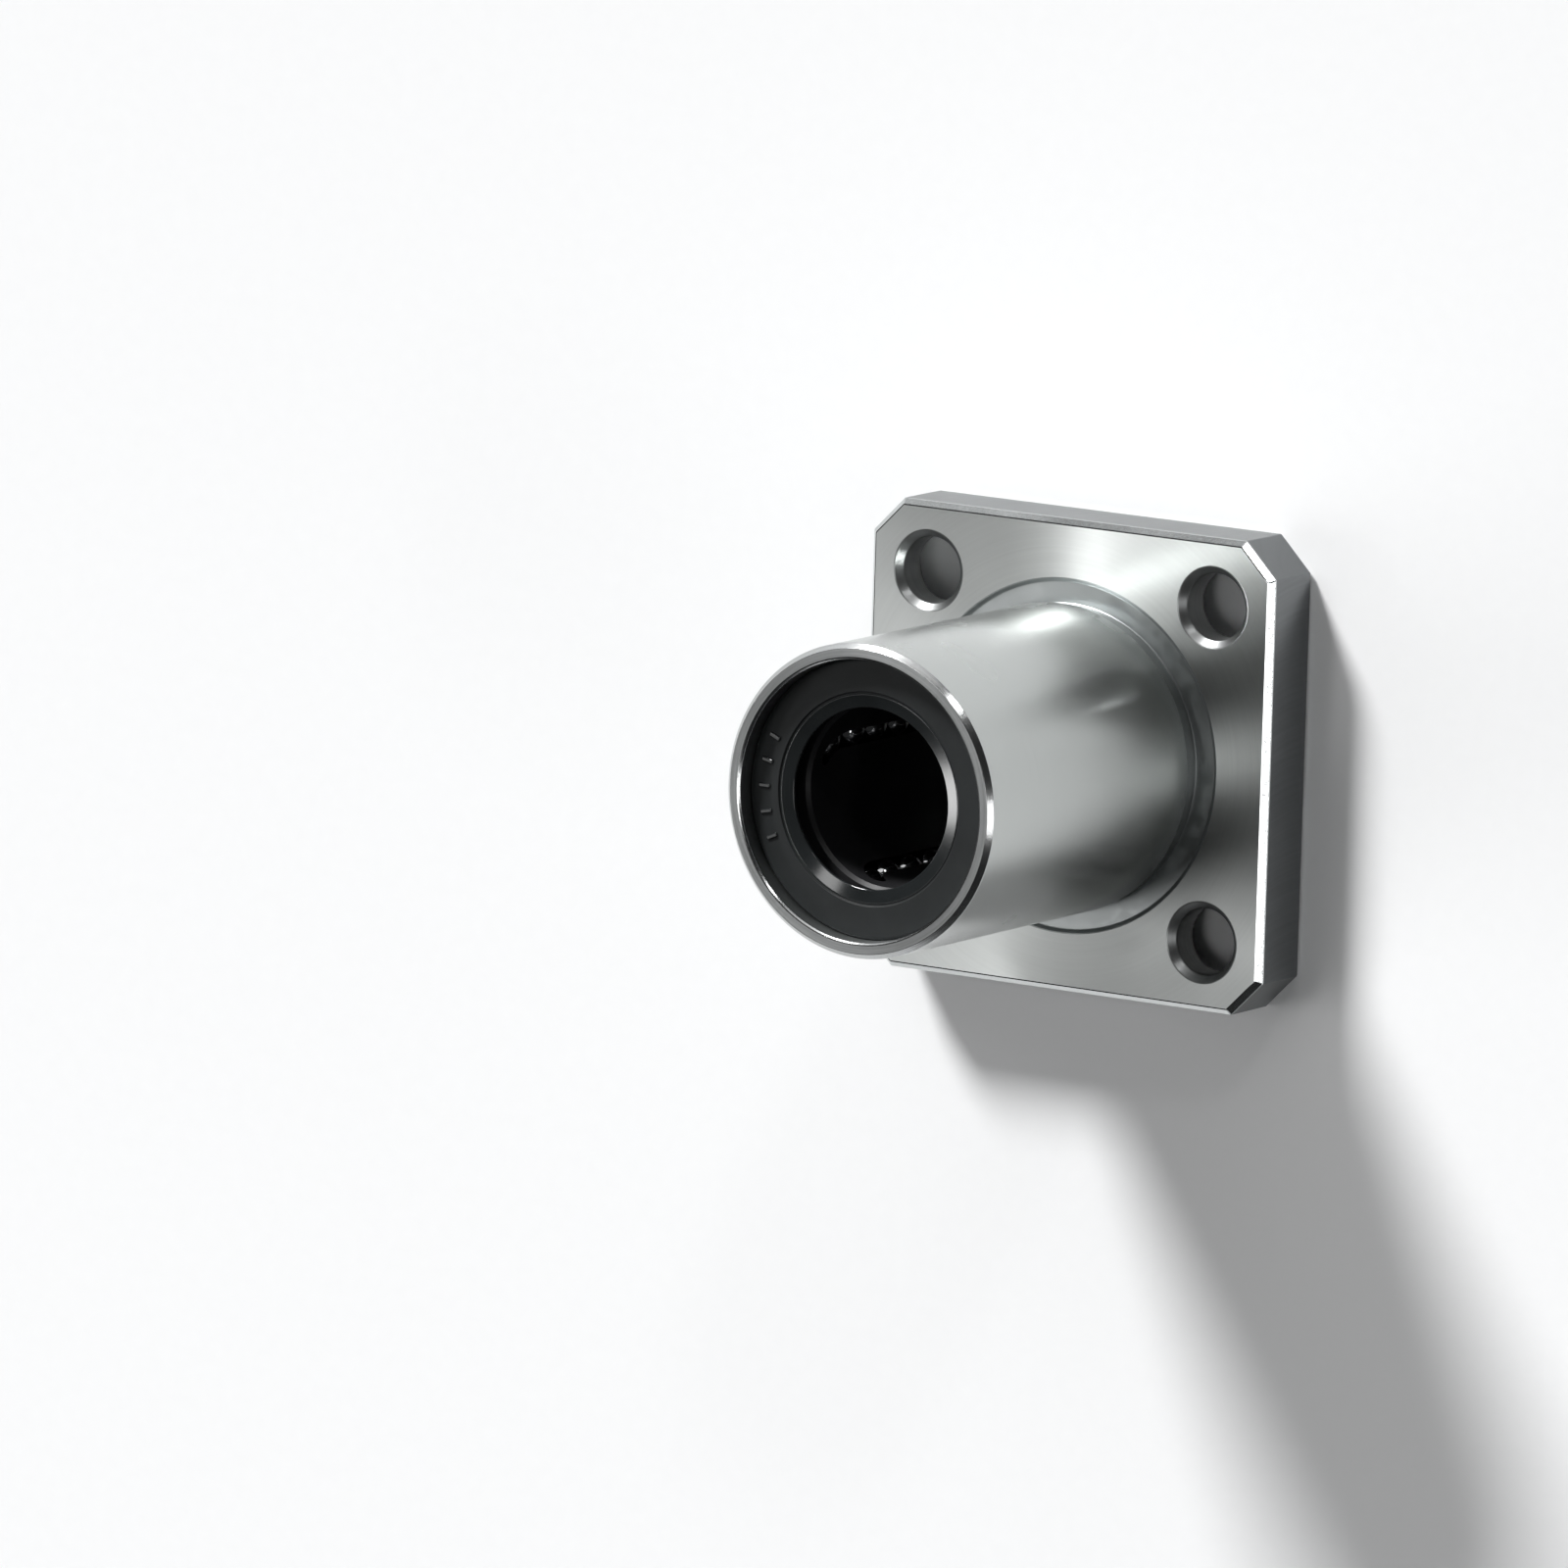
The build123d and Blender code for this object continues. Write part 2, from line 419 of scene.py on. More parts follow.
@dataclass(frozen=True)
class Finishes:
    """Every finish on the bearing."""

    ground: Steel = Steel(
        "ground_steel", (0.52, 0.54, 0.53), shade=0.93, roughness=0.26, anisotropy=0.45,
        lay=Lay.ROUND_THE_AXIS, mark_pitch=0.22,
    )
    faced: Steel = Steel(
        "faced_steel", (0.62, 0.64, 0.63), shade=0.88, roughness=0.35, anisotropy=0.90,
        lay=Lay.RINGS_ON_A_FACE, mark_pitch=0.18, mark_depth=0.0025,
    )
    rim: Steel = Steel(
        "rim_steel", (0.37, 0.38, 0.38), shade=0.45, roughness=0.42, anisotropy=0.50,
        lay=Lay.RINGS_ON_A_FACE, mark_pitch=0.16, mark_depth=0.005, nick_depth=0.018,
    )
    rim_edge: Steel = Steel(
        "rim_edge_steel", (0.56, 0.57, 0.57), shade=0.76, roughness=0.20,
        lay=Lay.ROUND_THE_AXIS, mark_pitch=0.12, mark_depth=0.003, nick_depth=0.004,
    )
    turned: Steel = Steel(
        "turned_steel", (0.40, 0.42, 0.42), shade=0.80, roughness=0.34, anisotropy=0.40,
        lay=Lay.ROUND_THE_AXIS, mark_pitch=0.12, mark_depth=0.003,
    )
    milled: Steel = Steel(
        "milled_steel", (0.21, 0.22, 0.225), shade=0.78, roughness=0.30, anisotropy=0.30,
        lay=Lay.CUTTER_ARCS, mark_pitch=0.33, mark_depth=0.005, nick_depth=0.003,
    )
    broken_edge: Steel = Steel(
        "edge_break_steel", (0.62, 0.64, 0.64), shade=0.80, roughness=0.13,
        lay=Lay.CUTTER_ARCS, mark_pitch=0.25, mark_depth=0.003, nick_depth=0.003,
    )
    drilled: Steel = Steel(
        "drilled_steel", (0.40, 0.41, 0.41), shade=0.70, roughness=0.36, anisotropy=0.20,
        lay=Lay.ROUND_THE_AXIS, mark_pitch=0.18, mark_depth=0.004, nick_depth=0.003,
    )
    ball: Steel = Steel(
        "ball_chrome_steel", (0.62, 0.63, 0.64), shade=0.96, roughness=0.10,
        lay=Lay.ROUND_THE_AXIS, mark_pitch=0.30, mark_depth=0.0002,
    )
    spring: Steel = Steel(
        "spring_steel", (0.10, 0.10, 0.11), shade=0.75, roughness=0.36,
        lay=Lay.RINGS_ON_A_FACE, mark_pitch=0.20, mark_depth=0.002, nick_depth=0.002,
    )
    rubber: Moulding = Moulding(
        "seal_rubber_black", (0.011, 0.0125, 0.013), roughness=0.55, grain=0.07, grain_depth=0.002
    )
    lip: Moulding = Moulding(
        "seal_lip_black", (0.011, 0.0125, 0.013), roughness=0.15, grain=0.12, grain_depth=0.0006,
        sheen=0.0, coat=1.0,
    )
    resin: Moulding = Moulding(
        "cage_resin_black", (0.012, 0.012, 0.013), roughness=0.38, grain=0.12, grain_depth=0.003
    )


# ---------------------------------------------------------------- modelling bench


@dataclass(frozen=True)
class Corner:
    """A corner of a turned profile, in millimetres, with the length taken off each side to round it."""

    radius: float
    height: float
    rounding: float = 0.0


class Bench:
    """Modelling steps shared by the pieces, in millimetres."""

    corner_segments = 4
    normal_weight = 90

    @staticmethod
    def pick(*objects: Piece) -> None:
        """Select these objects and nothing else, the first one active.

        Args:
            objects: what to select.
        """
        for item in bpy.context.view_layer.objects:
            item.select_set(False)
        for item in objects:
            item.select_set(True)
        bpy.context.view_layer.objects.active = objects[0]

    @staticmethod
    @contextmanager
    def editing(piece: Piece) -> Iterator[None]:
        """Edit one piece, with nothing in it selected at first.

        Args:
            piece: the object to edit.

        Returns:
            A context that ends in object mode.
        """
        Bench.pick(piece)
        bpy.ops.object.mode_set(mode="EDIT")
        bpy.ops.mesh.select_mode(type="VERT")
        bpy.ops.mesh.select_all(action="DESELECT")
        try:
            yield
        finally:
            bpy.ops.object.mode_set(mode="OBJECT")

    @staticmethod
    def choose(kind: str, test: Callable[[object], bool]) -> int:
        """Select parts of the mesh being edited.

        Args:
            kind: verts or edges.
            test: says whether a part is selected.

        Returns:
            How many were selected.
        """
        bpy.ops.mesh.select_all(action="DESELECT")
        bpy.ops.mesh.select_mode(type={"verts": "VERT", "edges": "EDGE"}[kind])
        mesh = bpy.context.edit_object.data
        cage = bmesh.from_edit_mesh(mesh)
        found = [part for part in getattr(cage, kind) if test(part)]
        for part in found:
            part.select_set(True)
        cage.select_flush_mode()
        bmesh.update_edit_mesh(mesh)
        return len(found)

    @staticmethod
    def weld(distance: float = MERGE_DISTANCE) -> None:
        """Select all of the mesh being edited and merge the corners that lie together.

        Args:
            distance: how near to each other they lie.
        """
        bpy.ops.mesh.select_all(action="SELECT")
        bpy.ops.mesh.remove_doubles(threshold=distance)

    @staticmethod
    def lathe(name: str, profile: Sequence[Corner], steps: int) -> Piece:
        """Turn a closed profile round the shaft axis.

        Args:
            name: the new object's name.
            profile: the corners in order.
            steps: facets in a full turn.

        Returns:
            The turned solid.
        """
        bpy.ops.mesh.primitive_plane_add(size=1)
        piece = bpy.context.object
        piece.name = name
        with Bench.editing(piece):
            bpy.ops.mesh.select_all(action="SELECT")
            bpy.ops.mesh.merge(type="CENTER")
            bpy.ops.transform.translate(value=(profile[0].radius, 0, profile[0].height))
            for here, there in zip(profile, [*profile[1:], profile[0]]):
                step = (there.radius - here.radius, 0, there.height - here.height)
                bpy.ops.mesh.extrude_region_move(TRANSFORM_OT_translate={"value": step})
            Bench.weld()
            for corner in profile:
                if corner.rounding:
                    spot = Vector((corner.radius, 0, corner.height))
                    Bench.choose("verts", lambda v, spot=spot: (v.co - spot).length < MERGE_DISTANCE)
                    bpy.ops.mesh.bevel(
                        offset=corner.rounding, segments=Bench.corner_segments, affect="VERTICES"
                    )
            bpy.ops.mesh.select_all(action="SELECT")
            bpy.ops.mesh.spin(steps=steps, angle=FULL_TURN, center=(0, 0, 0), axis=(0, 0, 1))
            Bench.weld()
            bpy.ops.mesh.delete_loose()
            bpy.ops.mesh.select_all(action="SELECT")
            bpy.ops.mesh.normals_make_consistent(inside=False)
        return piece

    @staticmethod
    def settle(piece: Piece) -> None:
        """Put a piece's place, turn and scale into its mesh."""
        Bench.pick(piece)
        bpy.ops.object.transform_apply(location=True, rotation=True, scale=True)

    @staticmethod
    def copy(piece: Piece, name: str) -> Piece:
        """Copy a piece with a mesh of its own.

        Args:
            piece: what to copy.
            name: the copy's name.

        Returns:
            The copy.
        """
        twin = piece.copy()
        twin.data = piece.data.copy()
        twin.name = name
        bpy.context.scene.collection.objects.link(twin)
        return twin

    @staticmethod
    def combine(piece: Piece, tool: Piece, operation: str) -> None:
        """Cut a piece with a tool or add the tool to it, and remove the tool.

        Args:
            piece: the object to change.
            tool: the cutting or added solid.
            operation: DIFFERENCE or UNION.
        """
        change = piece.modifiers.new("combine", "BOOLEAN")
        change.object = tool
        change.operation = operation
        change.solver = "EXACT"
        Bench.pick(piece)
        bpy.ops.object.modifier_apply(modifier=change.name)
        bpy.data.objects.remove(tool)
        with Bench.editing(piece):
            Bench.weld(SLIVER)

    @staticmethod
    def ring_of(piece: Piece, tool: Piece, angles: Sequence[float], operation: str) -> None:
        """Combine copies of a tool, turned to each angle about the shaft axis.

        Args:
            piece: the object to change.
            tool: the tool, modelled at angle 0.
            angles: where the copies go, in degrees.
            operation: DIFFERENCE or UNION.
        """
        for angle in angles:
            turned = Bench.copy(tool, f"{tool.name}_{angle:.0f}")
            turned.rotation_euler.z = math.radians(angle)
            Bench.settle(turned)
            Bench.combine(piece, turned, operation)
        bpy.data.objects.remove(tool)

    @staticmethod
    def box(name: str, size: Triple, centre: Triple) -> Piece:
        """A block to be shaped further.

        Args:
            name: the new object's name.
            size: its three sizes.
            centre: its middle.

        Returns:
            The block.
        """
        bpy.ops.mesh.primitive_cube_add(size=1, location=centre, scale=size)
        block = bpy.context.object
        block.name = name
        Bench.settle(block)
        return block

    @staticmethod
    def smooth(piece: Piece, angle: float) -> None:
        """Smooth curved faces and keep flat faces flat beside their rounded edges.

        Args:
            piece: the object to shade.
            angle: the sharpest edge to smooth over, in degrees.
        """
        Bench.pick(piece)
        bpy.ops.object.shade_smooth_by_angle(angle=math.radians(angle))
        weigh = piece.modifiers.new("weigh", "WEIGHTED_NORMAL")
        weigh.keep_sharp = True
        weigh.weight = Bench.normal_weight
        bpy.ops.object.modifier_apply(modifier=weigh.name)

    @staticmethod
    def to_metres(piece: Piece) -> None:
        """Bring a piece from millimetres to metres, about the frame's origin."""
        piece.scale = (MILLIMETRE,) * 3
        Bench.settle(piece)


def put_in_scene(name: str, data: bpy.types.ID) -> Piece:
    """Make an object of a mesh, a lamp or a camera and link it to the scene.

    Args:
        name: the object's name.
        data: what it holds.

    Returns:
        The new object.
    """
    item = bpy.data.objects.new(name, data)
    bpy.context.scene.collection.objects.link(item)
    return item


def mount(piece: Piece, body: str, nodes: Sequence[str]) -> None:
    """Fix a finished piece to its CAD body in place of its nodes.

    Args:
        piece: the finished piece.
        body: the CAD body that it moves with.
        nodes: the CAD nodes that it stands for.
    """
    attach(piece, body)
    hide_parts(*nodes)
    log.info("%s: %d faces on %s", piece.name, len(piece.data.polygons), body)


# ---------------------------------------------------------------- the bearing


@dataclass
class Sleeve:
    """Square flange and ground barrel, one steel turning, in millimetres.

    The shares and margins sort its faces by finish: a share says how far a face leans, a margin how
    far past the edge of a region its middle may lie.
    """

    finishes: Finishes
    length: float = 30.0
    barrel_radius: float = 10.5
    end_chamfer: float = 0.35
    land_radius: float = 8.401
    seat_radius: float = 9.4
    seat_depth: float = 3.4
    seat_mouth: float = 0.15
    ring_groove_radius: float = 9.82
    ring_groove_height: float = 0.72
    flange_width: float = 32.0
    flange_thickness: float = 5.0
    corner_cut: float = 2.4
    face_break: float = 0.4
    back_break: float = 0.3
    relief_depth: float = 0.25
    relief_length: float = 0.9
    relief_ring_radius: float = 12.0
    bolt_circle_radius: float = 16.0
    bolt_radius: float = 2.25
    bolt_entry: float = 0.5
    counterbore_radius: float = 3.75
    counterbore_depth: float = 2.6
    counterbore_break: float = 0.25
    pocket_radius: float = 1.2205
    pocket_reach: float = 3.437747
    track_height: float = 7.1905
    circuit_angles: tuple[float, ...] = (64.0, 154.0, 244.0, 334.0)
    bolt_angles: tuple[float, ...] = (45.0, 135.0, 225.0, 315.0)
    edge_rounding: float = 0.05
    sharp_angle: float = 20
    smooth_angle: float = 12
    steps: int = 256
    hole_steps: int = 96
    pocket_steps: int = 48
    wall: float = 1.0
    relief_clearance: float = 0.4
    flat_share: float = 0.98
    wall_share: float = 0.9
    slope_share: float = 0.15
    rim_margin: float = 0.05
    relief_margin: float = 0.02
    floor_margin: float = 0.1

    def flange(self) -> Piece:
        """The square flange with its corners cut and its edges broken.

        Returns:
            The flange block.
        """
        block = Bench.box(
            "flange_block",
            (self.flange_width, self.flange_width, self.flange_thickness),
            (0, 0, self.flange_thickness / 2),
        )
        with Bench.editing(block):
            Bench.choose("edges", lambda edge: abs(edge.verts[0].co.z - edge.verts[1].co.z) > ON_LEVEL)
            bpy.ops.mesh.bevel(offset=self.corner_cut, segments=1, affect="EDGES")
            for level, size in ((self.flange_thickness, self.face_break), (0.0, self.back_break)):
                Bench.choose(
                    "edges", lambda edge, z=level: all(abs(v.co.z - z) < ON_LEVEL for v in edge.verts)
                )
                bpy.ops.mesh.bevel(offset=size, segments=1, affect="EDGES")
        soften = block.modifiers.new("soften", "BEVEL")
        soften.width = self.edge_rounding
        soften.segments = 1
        soften.limit_method = "ANGLE"
        soften.angle_limit = math.radians(self.sharp_angle)
        Bench.pick(block)
        bpy.ops.object.modifier_apply(modifier=soften.name)
        return block

    def barrel(self) -> Piece:
        """The barrel's outside, with its chamfered and rounded end.

        Returns:
            A thick tube that reaches down into the flange.
        """
        inner, foot = self.land_radius - self.wall, self.flange_thickness - self.wall
        return Bench.lathe(
            "barrel_tube",
            [
                Corner(inner, foot),
                Corner(self.barrel_radius, foot),
                Corner(self.barrel_radius, self.length - self.end_chamfer, 0.04),
                Corner(self.barrel_radius - self.end_chamfer, self.length, 0.03),
                Corner(inner, self.length),
            ],
            self.steps,
        )

    def relief_cutter(self) -> Piece:
        """The grinding relief at the root of the barrel, as a cutting ring.

        Returns:
            The cutting ring.
        """
        neck = self.barrel_radius - self.relief_depth
        floor = self.flange_thickness - self.relief_depth
        top = self.flange_thickness + self.relief_length
        clear = self.relief_clearance
        return Bench.lathe(
            "relief_cutter",
            [
                Corner(neck, floor, 0.12),
                Corner(self.relief_ring_radius - self.relief_depth, floor, 0.06),
                Corner(self.relief_ring_radius, self.flange_thickness),
                Corner(self.relief_ring_radius + clear, self.flange_thickness + clear),
                Corner(self.relief_ring_radius + clear, top + self.relief_depth + clear),
                Corner(self.barrel_radius + clear, top + self.relief_depth + clear),
                Corner(neck, top, 0.08),
            ],
            self.steps,
        )

    def bore_cutter(self) -> Piece:
        """The bore with a seal seat, a ring groove and a chamfered mouth at each end.

        Returns:
            The cutting solid.
        """
        groove_foot = self.seat_depth
        groove_top = self.seat_depth - self.ring_groove_height
        rear = [
            Corner(0, -OVERSHOOT),
            Corner(self.seat_radius + self.seat_mouth + OVERSHOOT, -OVERSHOOT),
            Corner(self.seat_radius, self.seat_mouth, 0.04),
            Corner(self.seat_radius, groove_top),
            Corner(self.ring_groove_radius, groove_top),
            Corner(self.ring_groove_radius, groove_foot),
            Corner(self.land_radius, groove_foot, 0.05),
        ]
        front = [Corner(c.radius, self.length - c.height, c.rounding) for c in reversed(rear)]
        return Bench.lathe("bore_cutter", [*rear, *front], self.steps)

    def pocket_cutter(self) -> Piece:
        """One ball pocket: a long slot that holds a loaded row and a return row.

        Returns:
            The cutting solid, at angle 0.
        """
        tall = self.length - 2 * (self.seat_depth - OVERSHOOT)
        bpy.ops.mesh.primitive_cylinder_add(
            vertices=self.pocket_steps,
            radius=self.pocket_radius,
            depth=tall,
            location=(self.track_height, 0, self.length / 2),
        )
        cutter = bpy.context.object
        cutter.name = "pocket_cutter"
        Bench.settle(cutter)
        with Bench.editing(cutter):
            Bench.choose("verts", lambda vertex: vertex.co.y > MERGE_DISTANCE)
            bpy.ops.transform.translate(value=(0, self.pocket_reach, 0))
        return cutter

    def bolt_cutter(self) -> Piece:
        """One bolt hole, with its entry chamfer and its counterbore from the back.

        Returns:
            The cutting solid, at angle 0.
        """
        top = self.flange_thickness + OVERSHOOT
        cutter = Bench.lathe(
            "bolt_cutter",
            [
                Corner(0, -OVERSHOOT),
                Corner(self.counterbore_radius + self.counterbore_break + OVERSHOOT, -OVERSHOOT),
                Corner(self.counterbore_radius, self.counterbore_break, 0.05),
                Corner(self.counterbore_radius, self.counterbore_depth, 0.08),
                Corner(self.bolt_radius, self.counterbore_depth, 0.05),
                Corner(self.bolt_radius, self.flange_thickness - self.bolt_entry, 0.10),
                Corner(self.bolt_radius + self.bolt_entry + OVERSHOOT, top),
                Corner(0, top),
            ],
            self.hole_steps,
        )
        cutter.location.x = self.bolt_circle_radius
        Bench.settle(cutter)
        return cutter

    def hole_centres(self) -> list[tuple[float, float]]:
        """The middles of the bolt holes, looking along the shaft.

        Returns:
            Their places across the shaft, in millimetres.
        """
        return [
            (self.bolt_circle_radius * math.cos(turn), self.bolt_circle_radius * math.sin(turn))
            for turn in map(math.radians, self.bolt_angles)
        ]

    def soften_mouths(self, piece: Piece) -> None:
        """Take the sharp arris off the mouths that the cutters left.

        Args:
            piece: the sleeve after its cuts.
        """
        axis, holes = (0.0, 0.0), self.hole_centres()
        entry = self.bolt_radius + self.bolt_entry
        rear_entry = self.counterbore_radius + self.counterbore_break
        bore = self.seat_radius + self.seat_mouth
        rims = [
            *((self.flange_thickness, hole, entry, ON_CIRCLE) for hole in holes),
            *((0.0, hole, rear_entry, 1.5 * ON_CIRCLE) for hole in holes),
            (0.0, axis, bore, ON_CIRCLE),
            (self.length, axis, bore, ON_CIRCLE),
            (self.flange_thickness, axis, self.relief_ring_radius, ON_CIRCLE),
        ]

        def on_mouth(edge: bmesh.types.BMEdge) -> bool:
            """Whether an edge is sharp and lies on the mouth of a hole, the bore or the relief.

            Args:
                edge: an edge of the sleeve.

            Returns:
                True where it is to be softened.
            """
            for vertex in edge.verts:
                if not any(
                    abs(vertex.co.z - level) < ON_LEVEL
                    and abs(math.dist(vertex.co.xy, centre) - radius) < reach
                    for level, centre, radius, reach in rims
                ):
                    return False
            return edge.calc_face_angle(0.0) > math.radians(self.sharp_angle)

        with Bench.editing(piece):
            count = Bench.choose("edges", on_mouth)
            bpy.ops.mesh.bevel(offset=self.edge_rounding, segments=1, affect="EDGES")
        log.info("softened %d mouth edges", count)

    def dress(self, piece: Piece) -> None:
        """Give each region of the turning the finish its own machining left.

        Args:
            piece: the finished sleeve, still in millimetres.
        """
        order = ("ground", "faced", "rim", "rim_edge", "turned", "milled", "broken_edge", "drilled")
        for name in order:
            piece.data.materials.append(getattr(self.finishes, name).make())
        place = {name: index for index, name in enumerate(order)}
        for face in piece.data.polygons:
            face.material_index = place[self.region(face.center, face.normal)]

    def region(self, centre: Vector, normal: Vector) -> str:
        """Name the finish of a face.

        Args:
            centre: the face's middle.
            normal: the face's outward normal.

        Returns:
            The name of a field of Finishes.
        """
        radius = math.hypot(centre.x, centre.y)
        outward = (centre.x * normal.x + centre.y * normal.y) / max(radius, 1e-6)
        hole_distance = min(math.dist(centre.xy, hole) for hole in self.hole_centres())
        mouth = self.counterbore_radius + self.counterbore_break
        flat = abs(normal.z) > self.flat_share
        if flat and min(abs(centre.z), abs(centre.z - self.flange_thickness)) < ON_LEVEL:
            return "faced"
        rim_foot = self.length - self.end_chamfer - self.rim_margin
        if centre.z > rim_foot and radius > self.seat_radius - MARGIN:
            return "rim" if flat else "rim_edge"
        if radius < self.ring_groove_radius + MARGIN and outward < self.wall_share:
            return "turned"
        outside = radius > self.relief_ring_radius + self.floor_margin
        if outside and hole_distance < mouth and MARGIN < centre.z < self.flange_thickness - MARGIN:
            return "drilled"
        ground_foot = self.flange_thickness + self.relief_length + self.relief_depth
        if centre.z > ground_foot - self.relief_margin:
            return "ground"
        relief_foot = self.flange_thickness - self.relief_depth - self.floor_margin
        if radius < self.relief_ring_radius + self.relief_margin and centre.z > relief_foot:
            return "turned"
        if abs(normal.z) > self.slope_share:
            return "broken_edge"
        return "milled"

    def build(self) -> None:
        """Model, cut and dress the sleeve."""
        piece = self.flange()
        Bench.combine(piece, self.barrel(), "UNION")
        Bench.combine(piece, self.bore_cutter(), "DIFFERENCE")
        Bench.combine(piece, self.relief_cutter(), "DIFFERENCE")
        Bench.ring_of(piece, self.pocket_cutter(), self.circuit_angles, "DIFFERENCE")
        Bench.ring_of(piece, self.bolt_cutter(), self.bolt_angles, "DIFFERENCE")
        self.soften_mouths(piece)
        piece.name = "sleeve_turning"
        self.dress(piece)
        Bench.smooth(piece, self.smooth_angle)
        Bench.to_metres(piece)
        mount(piece, "bearing_body", ["flanged_sleeve"])


@dataclass
class EndSeals:
    """The rubber seal in each end of the barrel, in millimetres."""

    finishes: Finishes
    length: float = 30.0
    outer_radius: float = 9.4
    lip_radius: float = 6.06
    bevel_radius: float = 7.0
    groove_width: float = 0.14
    groove_depth: float = 0.12
    bevel_depth: float = 0.25
    lip_land: float = 0.2
    hollow_radius: float = 6.8
    face_height: float = 28.75
    back_height: float = 27.3
    edge_round: float = 0.25
    bar_radius: float = 8.2
    bar_size: Triple = (0.9, 0.32, 0.24)
    bar_height: float = 0.12
    bar_rounding: float = 0.09
    bar_segments: int = 3
    bar_angles: tuple[float, ...] = (156.0, 168.0, 180.0, 192.0, 204.0)
    smooth_angle: float = 30
    steps: int = 256

    def disc(self) -> Piece:
        """The seal's turned shape.

        Returns:
            The disc of the front seal.
        """
        groove_floor = self.face_height - self.groove_depth
        lip_top = self.face_height - self.bevel_depth
        return Bench.lathe(
            "front_seal_disc",
            [
                Corner(self.outer_radius, self.back_height),
                Corner(self.outer_radius, self.face_height, self.edge_round),
                Corner(self.bevel_radius + self.groove_width, self.face_height, 0.05),
                Corner(self.bevel_radius + self.groove_width - 0.03, groove_floor, 0.03),
                Corner(self.bevel_radius, groove_floor, 0.03),
                Corner(self.bevel_radius - 0.05, groove_floor + 0.03, 0.03),
                Corner(self.lip_radius, lip_top, 0.07),
                Corner(self.lip_radius, lip_top - self.lip_land, 0.04),
                Corner(self.hollow_radius, self.back_height),
            ],
            self.steps,
        )

    def bar(self) -> Piece:
        """One raised moulding bar with rounded edges, at angle 0.

        Returns:
            The bar.
        """
        middle = self.face_height + self.bar_height - self.bar_size[2] / 2
        block = Bench.box("moulded_bar", self.bar_size, (self.bar_radius, 0, middle))
        with Bench.editing(block):
            Bench.choose("edges", lambda edge: max(v.co.z for v in edge.verts) > self.face_height)
            bpy.ops.mesh.bevel(offset=self.bar_rounding, segments=self.bar_segments, affect="EDGES")
        return block

    def build(self) -> None:
        """Model both seals, the rear one as the front one's mirror image."""
        front = self.disc()
        Bench.ring_of(front, self.bar(), self.bar_angles, "UNION")
        front.data.materials.append(self.finishes.rubber.make())
        front.data.materials.append(self.finishes.lip.make())
        for face in front.data.polygons:
            on_lip = math.hypot(face.center.x, face.center.y) < self.bevel_radius
            face.material_index = int(on_lip or face.center.z > self.face_height + MARGIN)
        rear = Bench.copy(front, "rear_seal_disc")
        with Bench.editing(rear):
            bpy.ops.mesh.select_all(action="SELECT")
            bpy.ops.transform.resize(value=(1, 1, -1), center_override=(0, 0, self.length / 2))
            bpy.ops.mesh.normals_make_consistent(inside=False)
        for piece, node in ((front, "front_seal"), (rear, "rear_seal")):
            Bench.smooth(piece, self.smooth_angle)
            Bench.to_metres(piece)
            mount(piece, "bearing_body", [node])


@dataclass
class InnerRings:
    """Cage and retaining rings: copies of their CAD shapes, in metres, with smooth faces."""

    finishes: Finishes
    smooth_angle: float = 32
    merge_distance: float = 2e-7

    def smooth_copy(self, node: str, name: str, material: bpy.types.Material) -> None:
        """Copy a CAD node, merge its loose triangles, smooth it and dress it.

        Args:
            node: the CAD node.
            name: the piece's name.
            material: its finish.
        """
        piece = put_in_scene(name, frame["nodes"][node].data.copy())
        with Bench.editing(piece):
            bpy.ops.mesh.customdata_custom_splitnormals_clear()
            Bench.weld(self.merge_distance)
        Bench.pick(piece)
        bpy.ops.object.shade_smooth_by_angle(angle=math.radians(self.smooth_angle))
        piece.data.materials.clear()
        piece.data.materials.append(material)
        mount(piece, "bearing_body", [node])

    def build(self) -> None:
        """Make the cage and both rings."""
        resin, spring = self.finishes.resin.make(), self.finishes.spring.make()
        self.smooth_copy("ball_cage", "cage_moulding", resin)
        for end in ("front", "rear"):
            self.smooth_copy(f"{end}_retaining_ring", f"{end}_spring_ring", spring)


class Group(Enum):
    """The four groups of balls in a circuit, by their body and node name."""

    LOADED = "loaded_balls"
    RETURN = "return_balls"
    FRONT_TURN = "front_turn_balls"
    REAR_TURN = "rear_turn_balls"


